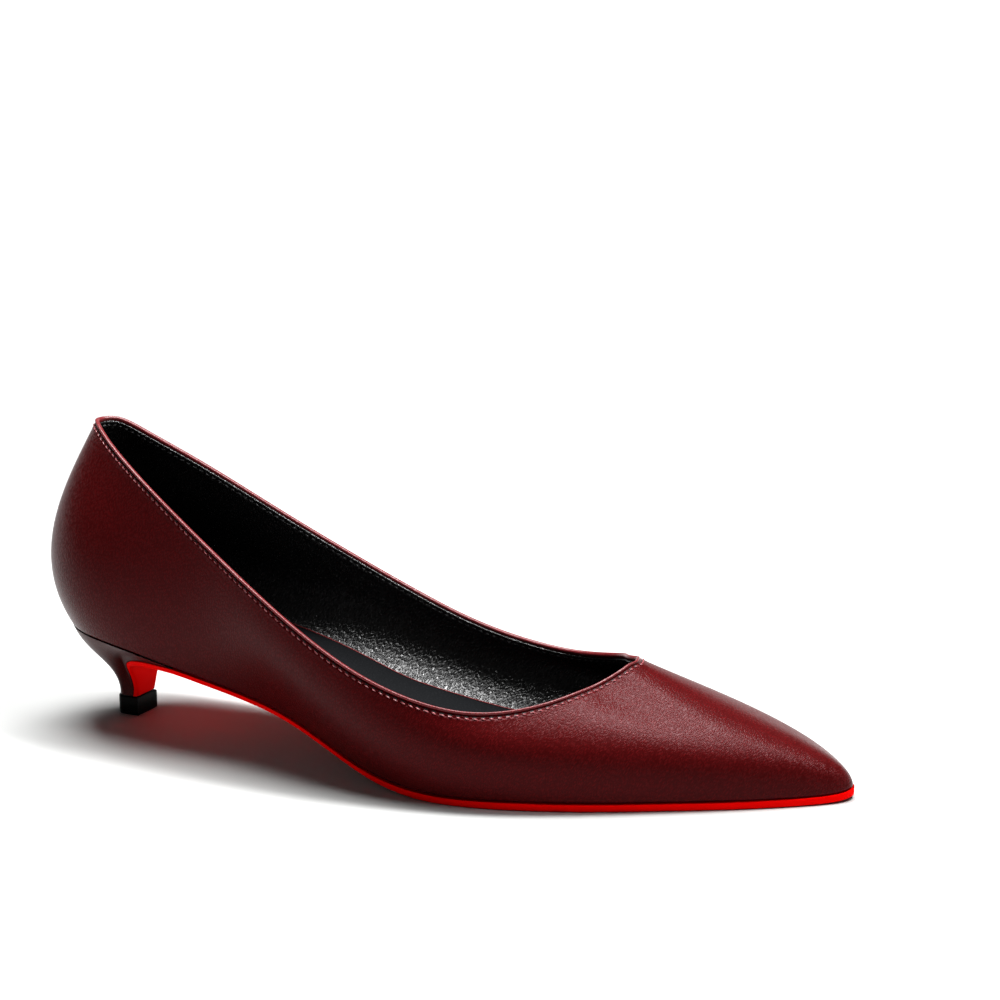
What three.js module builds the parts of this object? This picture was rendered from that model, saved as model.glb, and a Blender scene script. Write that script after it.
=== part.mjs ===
import * as THREE from "three";

// A kitten heel pump for the right foot, in millimetres.
// +X points to the toe, +Y to the inner side of the foot and +Z up.

// Shoe and last
const shoeLength = 251; // back of the heel seat to the toe tip, along the heel's own axis
const ballWidth = 74; // feather edge to feather edge across the ball
const seatHeight = 30.5; // floor to feather edge at the back of the heel
const backHeight = 64; // feather edge to topline at the back seam line
const toeSwing = 18.5; // how far the toe tip turns to the inner side of the heel's axis
const swingStart = 0.478; // share of the length where the forepart starts to turn
const archRise = 2.5; // inner side of the waist above the outer side

// Upper
const upperWall = 1.8; // leather, puff and lining together
const foldBand = 2.6; // folded edge along the topline
const foldStep = 0.35; // how far the folded edge stands proud
const marginWidth = 9; // lasting margin turned in under the insole
const marginThickness = 1.4;

// Bottom
const pieceGap = 0.3; // clearance between pieces that meet
const insoleThickness = 4.4; // seat and waist, where it is stiffened
const insoleToeThickness = 1.2;
const insoleBevel = 1.2;
const insoleInset = 2.6; // insole edge inside the feather edge
const treadThickness = 2.1; // outsole at the ball
const waistThickness = 1.5; // outsole at the waist and down the heel breast
const soleOverhang = 0.3; // outsole edge outside the feather edge
const soleEdgeRound = 0.7; // rounding of the outsole's lower edge

// Heel
const liftHeight = 6; // top lift
const liftWidth = 10.5;
const liftDepth = 8.6;
const liftOverhang = 0.4; // top lift outside the covered heel
const tipBack = 18; // heel's rear face at the top lift, from the back of the shoe
const lipShare = 0.25; // share of the outline, heel to toe, where the heel's front lip ends

// One row for each section of the last, from the back seam to the toe tip.
// foot: feather edge, mouth: topline, wall: how the side leaves the feather edge and reaches the topline.
// Shares of: shoeLength for along, ballWidth for outer, inner, flare and reach,
// the seat's height over the tread for footHeight, backHeight for mouthRise, rise and drop.
const sectionColumns = [
  "footAlong", "footOuter", "footInner", "footHeight",
  "mouthAlong", "mouthOuter", "mouthInner", "mouthRise",
  "rise", "flare", "reach", "drop",
];
const sectionShares = [
  [0.013, 0.000, 0.000, 1.000, 0.052, 0.000, 0.000, 1.000, 0.35, 0.19, 0.15, 0.325],
  [0.032, 0.160, 0.170, 1.000, 0.066, 0.082, 0.070, 0.993, 0.35, 0.18, 0.15, 0.325],
  [0.077, 0.283, 0.292, 0.995, 0.103, 0.172, 0.110, 0.924, 0.35, 0.15, 0.11, 0.330],
  [0.144, 0.332, 0.350, 0.925, 0.171, 0.277, 0.165, 0.812, 0.31, 0.09, 0.07, 0.303],
  [0.239, 0.312, 0.328, 0.722, 0.260, 0.347, 0.260, 0.683, 0.26, 0.08, 0.04, 0.262],
  [0.351, 0.289, 0.296, 0.452, 0.349, 0.420, 0.331, 0.603, 0.23, 0.11, 0.04, 0.233],
  [0.461, 0.375, 0.338, 0.144, 0.439, 0.474, 0.402, 0.549, 0.21, 0.11, 0.04, 0.195],
  [0.565, 0.471, 0.446, 0.000, 0.533, 0.493, 0.451, 0.459, 0.21, 0.07, 0.05, 0.166],
  [0.652, 0.472, 0.500, 0.000, 0.616, 0.451, 0.477, 0.383, 0.21, 0.05, 0.09, 0.134],
  [0.740, 0.404, 0.489, 0.000, 0.678, 0.339, 0.404, 0.394, 0.21, 0.04, 0.15, 0.123],
  [0.828, 0.303, 0.405, 0.000, 0.711, 0.222, 0.297, 0.427, 0.20, 0.03, 0.24, 0.150],
  [0.910, 0.199, 0.290, 0.000, 0.728, 0.120, 0.189, 0.448, 0.19, 0.01, 0.38, 0.195],
  [0.970, 0.103, 0.174, 0.006, 0.744, 0.039, 0.128, 0.485, 0.16, -0.01, 0.50, 0.256],
  [0.994, 0.047, 0.067, 0.022, 0.749, -0.006, 0.082, 0.492, 0.14, -0.02, 0.58, 0.288],
  [1.000, 0.000, 0.000, 0.036, 0.752, -0.037, 0.037, 0.488, 0.14, -0.02, 0.61, 0.300],
];

// Mesh fineness
const columnsAround = 96;
const wallLevels = 9;
const heelColumns = 16;
const heelLevels = 12;
const soleColumns = 30;
const flapLevels = 12;

// Vector help: every point is a THREE.Vector3
const point = (x, y, z) => new THREE.Vector3(x, y, z);
const mix = (a, b, share) => a + (b - a) * share;
const easeInOut = (share) => {
  const t = Math.min(Math.max(share, 0), 1);
  return t * t * (3 - 2 * t);
};

// A smooth closed curve through rows of numbers: a cubic spline that meets itself at 0 and 1.
function closedSpline(knots, rows) {
  const count = rows.length;
  const span = knots.map((knot, i) => (knots[i + 1] ?? 1) - knot);
  const bend = rows.map((row) => row.map(() => 0));
  const sweeps = 80;
  for (let sweep = 0; sweep < sweeps; sweep++) {
    rows.forEach((row, i) => {
      const before = (i + count - 1) % count;
      const after = (i + 1) % count;
      row.forEach((value, k) => {
        const slopeChange = (rows[after][k] - value) / span[i] - (value - rows[before][k]) / span[before];
        const neighbours = span[before] * bend[before][k] + span[i] * bend[after][k];
        bend[i][k] = (6 * slopeChange - neighbours) / (2 * (span[before] + span[i]));
      });
    });
  }
  return (share) => {
    const place = share - Math.floor(share);
    let i = count - 1;
    while (knots[i] > place) i--;
    const after = (i + 1) % count;
    const done = place - knots[i];
    const left = span[i] - done;
    return rows[i].map((value, k) => {
      const curved = (bend[i][k] * left ** 3 + bend[after][k] * done ** 3) / (6 * span[i]);
      const fromHere = (value / span[i] - (bend[i][k] * span[i]) / 6) * left;
      const fromNext = (rows[after][k] / span[i] - (bend[after][k] * span[i]) / 6) * done;
      return curved + fromHere + fromNext;
    });
  };
}

// The table's rows in millimetres
const treadTop = treadThickness + pieceGap; // feather edge at the ball
const sections = sectionShares.map((row) => {
  const share = Object.fromEntries(sectionColumns.map((name, i) => [name, row[i]]));
  return {
    footAlong: share.footAlong * shoeLength,
    footSides: [-share.footOuter * ballWidth, share.footInner * ballWidth],
    footHeight: mix(treadTop, seatHeight, share.footHeight),
    mouthAlong: share.mouthAlong * shoeLength,
    mouthSides: [-share.mouthOuter * ballWidth, share.mouthInner * ballWidth],
    mouthRise: share.mouthRise * backHeight,
    wall: [
      share.rise * backHeight,
      share.flare * ballWidth,
      share.reach * ballWidth,
      share.drop * backHeight,
    ],
  };
});

// Round the shoe: 0 at the back seam, along the outer side to the toe tip at 0.5, back along the inner side.
const toeTip = 0.5;
const outlineKnots = (() => {
  const steps = sections.slice(1).map((section, i) => {
    const before = sections[i];
    const chord = (side) =>
      Math.hypot(section.footAlong - before.footAlong, section.footSides[side] - before.footSides[side]);
    return Math.sqrt((chord(0) + chord(1)) / 2);
  });
  const total = steps.reduce((sum, step) => sum + step, 0);
  const outer = [0];
  steps.forEach((step) => outer.push(outer.at(-1) + (toeTip * step) / total));
  const inner = outer.slice(1, -1).reverse().map((knot) => 1 - knot);
  return [...outer, ...inner];
})();

const lastCurves = (() => {
  const row = (section, side) => [
    section.footAlong,
    section.footSides[side],
    section.footHeight,
    section.mouthAlong,
    section.mouthSides[side],
    section.mouthRise + section.footHeight,
    ...section.wall,
  ];
  const outer = sections.map((section) => row(section, 0));
  const inner = sections.slice(1, -1).reverse().map((section) => row(section, 1));
  return closedSpline(outlineKnots, [...outer, ...inner]);
})();

// How far a place along the shoe turns to the inner side
function swingAt(along) {
  const start = swingStart * shoeLength;
  const share = Math.max(along - start, 0) / (shoeLength - start);
  return toeSwing * share ** 1.5;
}

// The bottom's height at the outer side, from the place along the shoe
function edgeHeight(along) {
  let back = 0;
  let front = toeTip;
  const halvings = 24;
  for (let i = 0; i < halvings; i++) {
    const middle = (back + front) / 2;
    if (lastCurves(middle)[0] < along) back = middle;
    else front = middle;
  }
  return lastCurves(back)[2];
}

// A point on the shoe's bottom, lifted: the waist tilts, so that the arch is higher on the inner side.
function onBottom(x, y, lift) {
  const archStart = 0.25 * shoeLength;
  const archEnd = 0.6 * shoeLength;
  const archFade = 0.15 * shoeLength;
  const archShare = easeInOut((x - archStart) / archFade) * easeInOut((archEnd - x) / archFade);
  const waistWidth = 0.6 * ballWidth;
  const across = 0.5 + y / waistWidth;
  return point(x, y, edgeHeight(x) + archRise * archShare * across + lift);
}

// The feather edge, where upper, insole and outsole meet
function footPoint(around) {
  const [x, y] = lastCurves(around);
  return onBottom(x, y + swingAt(x), 0);
}

// The feather edge's outward direction, seen from above
function footNormal(around) {
  const step = 1e-4;
  const ahead = footPoint(around + step);
  const behind = footPoint(around - step);
  return point(ahead.y - behind.y, behind.x - ahead.x, 0).normalize();
}

// One rib of the upper: a curve from the feather edge to the topline
function ribAt(around) {
  const [, , , mouthX, mouthY, mouthZ, rise, flare, reach, drop] = lastCurves(around);
  const foot = footPoint(around);
  const mouth = point(mouthX, mouthY + swingAt(mouthX), mouthZ);
  const outward = footNormal(around);
  const belly = foot.clone().addScaledVector(outward, flare).add(point(0, 0, rise));
  const foldLean = 20; // keeps the topline leaning outwards where it stands over the feather edge
  const lean = outward.clone().multiplyScalar(foldLean);
  const away = lean.add(point(foot.x - mouth.x, foot.y - mouth.y, 0)).normalize();
  const shoulder = mouth.clone().addScaledVector(away, reach).add(point(0, 0, -drop));
  return new THREE.CubicBezierCurve3(foot, belly, shoulder, mouth);
}

// A place on the upper's outer face, moved outwards by a distance
function upperPoint(around, share, outwards) {
  const step = 1e-3;
  const here = ribAt(around).getPoint(share);
  const along = ribAt(around + step).getPoint(share).sub(ribAt(around - step).getPoint(share));
  const low = ribAt(around).getPoint(Math.max(share - step, 0));
  const up = ribAt(around).getPoint(Math.min(share + step, 1)).sub(low);
  return here.addScaledVector(along.cross(up).normalize(), outwards);
}

// Share along a rib that lies a distance up from the feather edge
function shareAt(rib, distance) {
  const samples = 60;
  const lengths = rib.getLengths(samples);
  const next = lengths.findIndex((length) => length >= distance);
  if (next < 0) return 1;
  if (next === 0) return 0;
  const part = (distance - lengths[next - 1]) / (lengths[next] - lengths[next - 1]);
  return (next - 1 + part) / samples;
}

// A closed solid from a list of equal rings of points: its ends are capped, or it closes on itself.
// In a capped ring, points j and count - j lie across from each other.
function solidFromRings(rings, closesOnItself = false) {
  const count = rings[0].length;
  const positions = rings.flat().flatMap((p) => [p.x, p.y, p.z]);
  const faces = [];
  const addQuad = (a, b, c, d) => faces.push([a, b, c], [a, c, d]);
  const lastRing = closesOnItself ? rings.length : rings.length - 1;
  for (let r = 0; r < lastRing; r++) {
    const here = r * count;
    const next = ((r + 1) % rings.length) * count;
    for (let j = 0; j < count; j++) {
      const k = (j + 1) % count;
      addQuad(here + j, here + k, next + k, next + j);
    }
  }
  const addCap = (first, flip) => {
    for (let j = 0; j < Math.floor(count / 2); j++) {
      const a = j;
      const b = j + 1;
      const c = count - j - 1;
      const d = (count - j) % count;
      const corners = [...new Set([a, b, c, d])].map((corner) => corner + first);
      if (corners.length < 3) continue;
      const ordered = flip ? [...corners].reverse() : corners;
      faces.push([ordered[0], ordered[1], ordered[2]]);
      if (ordered.length === 4) faces.push([ordered[0], ordered[2], ordered[3]]);
    }
  };
  if (!closesOnItself) {
    addCap(0, true);
    addCap((rings.length - 1) * count, false);
  }
  const geometry = new THREE.BufferGeometry();
  geometry.setAttribute("position", new THREE.Float32BufferAttribute(positions, 3));
  if (enclosedVolume(positions, faces) < 0) faces.forEach((face) => face.reverse());
  geometry.setIndex(faces.flat());
  geometry.computeVertexNormals();
  return geometry;
}

function enclosedVolume(positions, faces) {
  const corner = (i) => point(positions[3 * i], positions[3 * i + 1], positions[3 * i + 2]);
  const sixfold = faces.map(([a, b, c]) => corner(a).dot(corner(b).cross(corner(c))));
  return sixfold.reduce((sum, value) => sum + value, 0) / 6;
}

function makeMesh(name, geometry, color, roughness, metalness = 0) {
  const mesh = new THREE.Mesh(geometry, new THREE.MeshStandardMaterial({ color, roughness, metalness }));
  mesh.name = name;
  return mesh;
}

// Upper: a hollow shell, open at the topline, with its lasting margin turned in underneath
function marginPoint(around, lift) {
  const [x, y] = lastCurves(around);
  const middle = shoeLength / 2;
  const inX = middle + (x - middle) * (1 - marginWidth / middle);
  const inY = y * (1 - marginWidth / (ballWidth / 2));
  return onBottom(inX, inY + swingAt(inX), lift);
}

function upperLoop(around) {
  const rib = ribAt(around);
  const length = rib.getLength();
  const sideEnd = length - foldBand - foldStep;
  const marginClearance = 0.5;
  const innerStart = marginThickness + marginClearance;
  const levels = [...Array(wallLevels).keys()].map((i) => i / (wallLevels - 1));
  const outer = levels.map((level) => upperPoint(around, shareAt(rib, level * sideEnd), 0));
  const foldLow = upperPoint(around, shareAt(rib, length - foldBand), foldStep);
  const foldHigh = upperPoint(around, shareAt(rib, length - foldStep), foldStep);
  const top = upperPoint(around, 1, 0);
  const inner = levels.map((level) =>
    upperPoint(around, shareAt(rib, mix(length, innerStart, level)), -upperWall),
  );
  const corner = footPoint(around).addScaledVector(footNormal(around), -upperWall);
  const margin = [
    onBottom(corner.x, corner.y, marginThickness),
    marginPoint(around, marginThickness),
    marginPoint(around, 0),
  ];
  return [...outer, foldLow, foldHigh, top, ...inner, ...margin];
}

function makeUpper() {
  const loops = [...Array(columnsAround).keys()].map((i) => upperLoop(i / columnsAround));
  return makeMesh("upper", solidFromRings(loops, true), "#4a1216", 0.38);
}

// Insole: lies on the lasting margin, clear of the wall, and thins towards the toe
function makeInsole() {
  const bottom = marginThickness + pieceGap;
  const thicknessAt = (along) => {
    const thinStart = 0.55 * shoeLength;
    const thinEnd = 0.85 * shoeLength;
    return mix(insoleThickness, insoleToeThickness, easeInOut((along - thinStart) / (thinEnd - thinStart)));
  };
  const ringAt = (inset, isTop) =>
    [...Array(columnsAround).keys()].map((i) => {
      const around = i / columnsAround;
      const edge = footPoint(around).addScaledVector(footNormal(around), -inset);
      return onBottom(edge.x, edge.y, bottom + (isTop ? thicknessAt(edge.x) : 0));
    });
  const rings = [ringAt(insoleInset, false), ringAt(insoleInset + insoleBevel, true)];
  return makeMesh("insole", solidFromRings(rings), "#1b1a1b", 0.7);
}

// Heel: half of its D-shaped lower outline, from 0 at the back to 1 at the front corner
function tipOutline(share, side) {
  const roundPart = 0.6;
  const halfWidth = liftWidth / 2 - liftOverhang;
  const depth = liftDepth - waistThickness - pieceGap - liftOverhang;
  const roundDepth = depth / 2;
  const angle = (Math.min(share / roundPart, 1) * Math.PI) / 2;
  const straight = Math.max(share - roundPart, 0) / (1 - roundPart);
  const x = tipBack + roundDepth * (1 - Math.cos(angle)) + (depth - roundDepth) * straight;
  return point(x, side * halfWidth * Math.sin(angle), liftHeight + pieceGap);
}

// One line down the heel's side, from the top lift up to the seat; the last one is the breast's corner
function heelLine(share, side) {
  const around = (side < 0 ? 1 : -1) * toeTip * lipShare * share;
  const seat = footPoint(around).add(point(0, 0, -pieceGap));
  const tip = tipOutline(share, side);
  const roundPart = 0.45; // share of the outline that belongs to the back and sides
  const toBreast = easeInOut((share - roundPart) / (1 - roundPart));
  const tipReach = mix(0, 0.11, toBreast);
  const tipRise = mix(0.42, 0.49, toBreast);
  const seatReach = mix(0.75, -0.25, toBreast);
  const seatFlare = mix(0.75, 0.44, toBreast);
  const seatRise = mix(0.62, 0.96, toBreast);
  const between = (alongShare, acrossShare, upShare) =>
    point(mix(tip.x, seat.x, alongShare), mix(tip.y, seat.y, acrossShare), mix(tip.z, seat.z, upShare));
  const low = between(tipReach, 0, tipRise);
  const high = between(seatReach, seatFlare, seatRise);
  return new THREE.CubicBezierCurve3(tip, low, high, seat);
}

function makeHeel() {
  const rings = [...Array(heelLevels + 1).keys()].map((level) => {
    const back = [heelLine(0, -1).getPoint(level / heelLevels)];
    const shares = [...Array(heelColumns).keys()].map((i) => (i + 1) / heelColumns);
    const outer = shares.map((share) => heelLine(share, -1).getPoint(level / heelLevels));
    const inner = shares.reverse().map((share) => heelLine(share, 1).getPoint(level / heelLevels));
    return [...back, ...outer, ...inner];
  });
  return makeMesh("heel", solidFromRings(rings), "#42100f", 0.4);
}

// Top lift: the black tread piece under the heel
function makeTopLift() {
  const shares = [...Array(heelColumns).keys()].map((i) => (i + 1) / heelColumns);
  const frontReach = waistThickness + pieceGap;
  const backPart = 0.25; // share of the outline over which the overhang grows
  const edge = (share, side, z) => {
    const inner = tipOutline(share, side);
    const middle = tipBack + liftDepth / 2;
    const x = inner.x + liftOverhang * Math.sign(inner.x - middle) + (share === 1 ? frontReach : 0);
    return point(x, inner.y + side * liftOverhang * Math.min(share / backPart, 1), z);
  };
  const ringAt = (z) => [
    edge(0, -1, z),
    ...shares.map((share) => edge(share, -1, z)),
    ...[...shares].reverse().map((share) => edge(share, 1, z)),
  ];
  return makeMesh("top_lift", solidFromRings([ringAt(0), ringAt(liftHeight)]), "#17130f", 0.55);
}

// Outsole: forepart and waist follow the feather edge, then the flap turns down the heel's breast
function soleThickness(x) {
  const waistEnd = 0.42 * shoeLength;
  const treadStart = 0.58 * shoeLength;
  return mix(waistThickness, treadThickness, easeInOut((x - waistEnd) / (treadStart - waistEnd)));
}

function crossSection(outer, inner, down, thickness) {
  const lower = (edge, across, depth) =>
    edge.clone().addScaledVector(down, depth).addScaledVector(across, soleEdgeRound);
  const across = inner.clone().sub(outer).normalize();
  const still = point(0, 0, 0);
  const sideDepth = thickness - soleEdgeRound;
  const outerLow = lower(outer, across, thickness);
  const innerLow = lower(inner, across.clone().negate(), thickness);
  return [
    outer.clone().lerp(inner, 0.5),
    outer,
    lower(outer, still, sideDepth),
    outerLow,
    outerLow.clone().lerp(innerLow, 0.5),
    innerLow,
    lower(inner, still, sideDepth),
    inner,
  ];
}

function treadSection(around) {
  const edgeAt = (place) => {
    const edge = footPoint(place).addScaledVector(footNormal(place), soleOverhang);
    return onBottom(edge.x, edge.y, -pieceGap);
  };
  const outer = edgeAt(around);
  const inner = edgeAt(-around);
  const section = crossSection(outer, inner, point(0, 0, -1), soleThickness(outer.x));
  section.forEach((corner) => (corner.z = Math.max(corner.z, 0)));
  return section;
}

function flapSection(share) {
  const outer = heelLine(1, -1);
  const inner = heelLine(1, 1);
  const here = 1 - share;
  const nearTip = 0.01;
  const tangent = outer.getTangent(Math.max(here, nearTip)).negate();
  const forward = point(-tangent.z, 0, tangent.x).normalize();
  const place = (line) => line.getPoint(here).addScaledVector(forward, pieceGap);
  const section = crossSection(place(outer), place(inner), forward, waistThickness);
  section.forEach((corner) => (corner.z = Math.max(corner.z, liftHeight + pieceGap)));
  return section;
}

function makeOutsole() {
  const bluntTip = 0.006;
  const start = toeTip - bluntTip;
  const aheadOfLip = 1.06; // the last tread section lies just in front of the heel's lip
  const end = toeTip * lipShare * aheadOfLip;
  const shares = [...Array(soleColumns).keys()].map((i) => i / (soleColumns - 1));
  const tread = shares.map((share) => treadSection(mix(start, end, share)));
  const flap = [...Array(flapLevels + 1).keys()].map((i) => flapSection(i / flapLevels));
  return makeMesh("outsole", solidFromRings([...tread, ...flap]), "#b80c0a", 0.3);
}

// The whole shoe, with its origin under the middle of its box
const shoe = new THREE.Group();
shoe.add(makeUpper(), makeInsole(), makeOutsole(), makeHeel(), makeTopLift());
const box = new THREE.Box3().setFromObject(shoe);
shoe.position.set(-(box.min.x + box.max.x) / 2, -(box.min.y + box.max.y) / 2, -box.min.z);

export default shoe;
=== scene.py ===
import bisect
import functools
import math

import bpy
from mathutils import Matrix, Vector


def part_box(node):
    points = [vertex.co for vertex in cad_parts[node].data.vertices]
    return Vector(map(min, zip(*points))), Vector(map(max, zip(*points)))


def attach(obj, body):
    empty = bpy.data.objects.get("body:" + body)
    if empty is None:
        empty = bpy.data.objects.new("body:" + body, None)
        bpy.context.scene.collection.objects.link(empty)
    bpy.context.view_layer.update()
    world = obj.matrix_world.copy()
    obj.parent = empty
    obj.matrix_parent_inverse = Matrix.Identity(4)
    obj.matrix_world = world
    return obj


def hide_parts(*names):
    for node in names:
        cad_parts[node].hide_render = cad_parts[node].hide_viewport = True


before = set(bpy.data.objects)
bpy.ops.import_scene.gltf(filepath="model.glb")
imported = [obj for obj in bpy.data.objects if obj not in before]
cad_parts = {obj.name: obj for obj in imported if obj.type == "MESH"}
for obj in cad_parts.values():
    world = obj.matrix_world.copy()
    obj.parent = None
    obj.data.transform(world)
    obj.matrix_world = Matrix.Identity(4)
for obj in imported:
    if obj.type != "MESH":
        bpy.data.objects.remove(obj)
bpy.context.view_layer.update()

# A kitten heel pump for the right foot: +X to the toe, +Y to the inner side, +Z up.
# Shapes are in millimetres, in the shoe's own frame: its origin is on the floor, below the back of the seat.
# make_piece turns them to metres in the library's frame. Materials, camera and lights are in metres.

# Shoe and last
SHOE_LENGTH = 251
BALL_WIDTH = 74
SEAT_HEIGHT = 30.5
BACK_HEIGHT = 64
TOE_SWING = 18.5
SWING_START = 0.478
ARCH_RISE = 2.5

# Upper
UPPER_WALL = 1.8

# Bottom
PIECE_GAP = 0.3
TREAD_THICKNESS = 2.1
WAIST_THICKNESS = 1.5
SOLE_OVERHANG = 0.3
SOLE_EDGE_ROUND = 0.7

# Heel
LIFT_HEIGHT = 6
LIFT_WIDTH = 10.5
LIFT_DEPTH = 8.6
LIFT_OVERHANG = 0.4
TIP_BACK = 18
LIP_SHARE = 0.25

# One row for each section of the last, from the back seam to the toe tip, as shares of the sizes above
SECTION_COLUMNS = (
    "foot_along", "foot_outer", "foot_inner", "foot_height",
    "mouth_along", "mouth_outer", "mouth_inner", "mouth_rise",
    "rise", "flare", "reach", "drop",
)
SECTION_SHARES = (
    (0.013, 0.000, 0.000, 1.000, 0.052, 0.000, 0.000, 1.000, 0.35, 0.19, 0.15, 0.325),
    (0.032, 0.160, 0.170, 1.000, 0.066, 0.082, 0.070, 0.993, 0.35, 0.18, 0.15, 0.325),
    (0.077, 0.283, 0.292, 0.995, 0.103, 0.172, 0.110, 0.924, 0.35, 0.15, 0.11, 0.330),
    (0.144, 0.332, 0.350, 0.925, 0.171, 0.277, 0.165, 0.812, 0.31, 0.09, 0.07, 0.303),
    (0.239, 0.312, 0.328, 0.722, 0.260, 0.347, 0.260, 0.683, 0.26, 0.08, 0.04, 0.262),
    (0.351, 0.289, 0.296, 0.452, 0.349, 0.420, 0.331, 0.603, 0.23, 0.11, 0.04, 0.233),
    (0.461, 0.375, 0.338, 0.144, 0.439, 0.474, 0.402, 0.549, 0.21, 0.11, 0.04, 0.195),
    (0.565, 0.471, 0.446, 0.000, 0.533, 0.493, 0.451, 0.459, 0.21, 0.07, 0.05, 0.166),
    (0.652, 0.472, 0.500, 0.000, 0.616, 0.451, 0.477, 0.383, 0.21, 0.05, 0.09, 0.134),
    (0.740, 0.404, 0.489, 0.000, 0.678, 0.339, 0.404, 0.394, 0.21, 0.04, 0.15, 0.123),
    (0.828, 0.303, 0.405, 0.000, 0.711, 0.222, 0.297, 0.427, 0.20, 0.03, 0.24, 0.150),
    (0.910, 0.199, 0.290, 0.000, 0.728, 0.120, 0.189, 0.448, 0.19, 0.01, 0.38, 0.195),
    (0.970, 0.103, 0.174, 0.006, 0.744, 0.039, 0.128, 0.485, 0.16, -0.01, 0.50, 0.256),
    (0.994, 0.047, 0.067, 0.022, 0.749, -0.006, 0.082, 0.492, 0.14, -0.02, 0.58, 0.288),
    (1.000, 0.000, 0.000, 0.036, 0.752, -0.037, 0.037, 0.488, 0.14, -0.02, 0.61, 0.300),
)
TOE_TIP = 0.5

# Beside the throat the inner side's topline lies a little higher: row numbers, and heights in millimetres
INNER_THROAT_LIFT = {9: 0.5, 10: 1.0, 11: 1.6, 12: 0.3}

# Fineness
COLUMNS_AROUND = 420
WALL_LEVELS = 60
SOLE_STATIONS = 120
FLAP_STATIONS = 40
HEEL_LEVELS = 60
HEEL_COLUMNS = 40

# Profiles of the topline: distance down from the edge, then distance outwards from the wall's outer face
FOLDED_EDGE = (
    (4.2, 0.00), (3.6, 0.00), (3.1, 0.03), (2.75, 0.06), (2.5, 0.02), (2.3, -0.10), (2.1, -0.16),
    (1.9, -0.14), (1.7, -0.04), (1.55, -0.06), (1.38, -0.3), (1.15, -0.38), (0.98, -0.24), (0.9, 0.04),
    (0.78, 0.24), (0.6, 0.36), (0.4, 0.38), (0.2, 0.30), (0.06, 0.12), (-0.02, -0.15), (-0.04, -0.45),
    (0.02, -0.75), (0.18, -0.98), (0.5, -1.12), (1.3, -1.15),
)
LINING_EDGE = (
    (1.3, -1.12), (1.05, -1.2), (0.9, -1.32), (0.84, -1.5), (0.88, -1.7), (1.02, -1.84), (1.4, -1.92),
    (1.75, -1.88), (2.0, -1.74), (2.2, -1.70), (2.4, -1.76), (2.7, -1.88), (3.4, -1.84),
)

# Stitches: distance down from the edge, and distance outwards of the face that they lie on
STITCH_LINE = 2.15
STITCH_FACE = -0.02
LINING_STITCH_LINE = 2.2
LINING_STITCH_FACE = -1.8
STITCH_PITCH = 2.3
STITCH_LENGTH = 1.5

# Inside, at the bottom: the lining curves in under the foot to the sock
FILLET_HEIGHT = 20
FILLET_DEPTH = 5
SOCK_SEAT_LEVEL = 8
SOCK_BALL_LEVEL = 2.5
SOCK_DISH = 1.5


def mix(a, b, share):
    return a + (b - a) * share


def ease_in_out(share):
    t = min(max(share, 0), 1)
    return t * t * (3 - 2 * t)


# The last's curves

def closed_spline(knots, rows):
    """A smooth closed curve through rows of numbers, as a function of the share round it."""
    count = len(rows)
    span = [(knots[i + 1] if i + 1 < count else 1) - knots[i] for i in range(count)]
    bend = [[0.0] * len(row) for row in rows]
    sweeps = 80
    for _ in range(sweeps):
        for i, row in enumerate(rows):
            before = (i - 1) % count
            after = (i + 1) % count
            for k, value in enumerate(row):
                slope_change = (rows[after][k] - value) / span[i] - (value - rows[before][k]) / span[before]
                neighbours = span[before] * bend[before][k] + span[i] * bend[after][k]
                bend[i][k] = (6 * slope_change - neighbours) / (2 * (span[before] + span[i]))

    def at(share):
        place = share % 1
        i = bisect.bisect_right(knots, place) - 1
        after = (i + 1) % count
        done = place - knots[i]
        left = span[i] - done
        values = []
        for k, value in enumerate(rows[i]):
            curved = (bend[i][k] * left**3 + bend[after][k] * done**3) / (6 * span[i])
            from_here = (value / span[i] - bend[i][k] * span[i] / 6) * left
            from_next = (rows[after][k] / span[i] - bend[after][k] * span[i] / 6) * done
            values.append(curved + from_here + from_next)
        return values

    return at


def last_spline():
    """The sections of the last as one closed spline: outer side, toe tip, inner side."""
    tread_top = TREAD_THICKNESS + PIECE_GAP
    outer, inner, steps = [], [], []
    before = None
    for row, shares in enumerate(SECTION_SHARES):
        share = dict(zip(SECTION_COLUMNS, shares))
        foot_x = share["foot_along"] * SHOE_LENGTH
        foot_z = mix(tread_top, SEAT_HEIGHT, share["foot_height"])
        mouth_x = share["mouth_along"] * SHOE_LENGTH
        mouth_z = share["mouth_rise"] * BACK_HEIGHT + foot_z
        wall = [
            share["rise"] * BACK_HEIGHT, share["flare"] * BALL_WIDTH,
            share["reach"] * BALL_WIDTH, share["drop"] * BACK_HEIGHT,
        ]
        foot_sides = (-share["foot_outer"] * BALL_WIDTH, share["foot_inner"] * BALL_WIDTH)
        mouth_sides = (-share["mouth_outer"] * BALL_WIDTH, share["mouth_inner"] * BALL_WIDTH)
        outer.append([foot_x, foot_sides[0], foot_z, mouth_x, mouth_sides[0], mouth_z, *wall])
        inner_mouth_z = mouth_z + INNER_THROAT_LIFT.get(row, 0)
        inner.append([foot_x, foot_sides[1], foot_z, mouth_x, mouth_sides[1], inner_mouth_z, *wall])
        if before:
            chords = [math.hypot(foot_x - before[0], foot_sides[k] - before[1][k]) for k in (0, 1)]
            steps.append(math.sqrt(sum(chords) / 2))
        before = (foot_x, foot_sides)
    knots = [0.0]
    for step in steps:
        knots.append(knots[-1] + TOE_TIP * step / sum(steps))
    inner_knots = [1 - knot for knot in reversed(knots[1:-1])]
    return closed_spline(knots + inner_knots, outer + inner[1:-1][::-1])


last_curves = last_spline()

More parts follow.
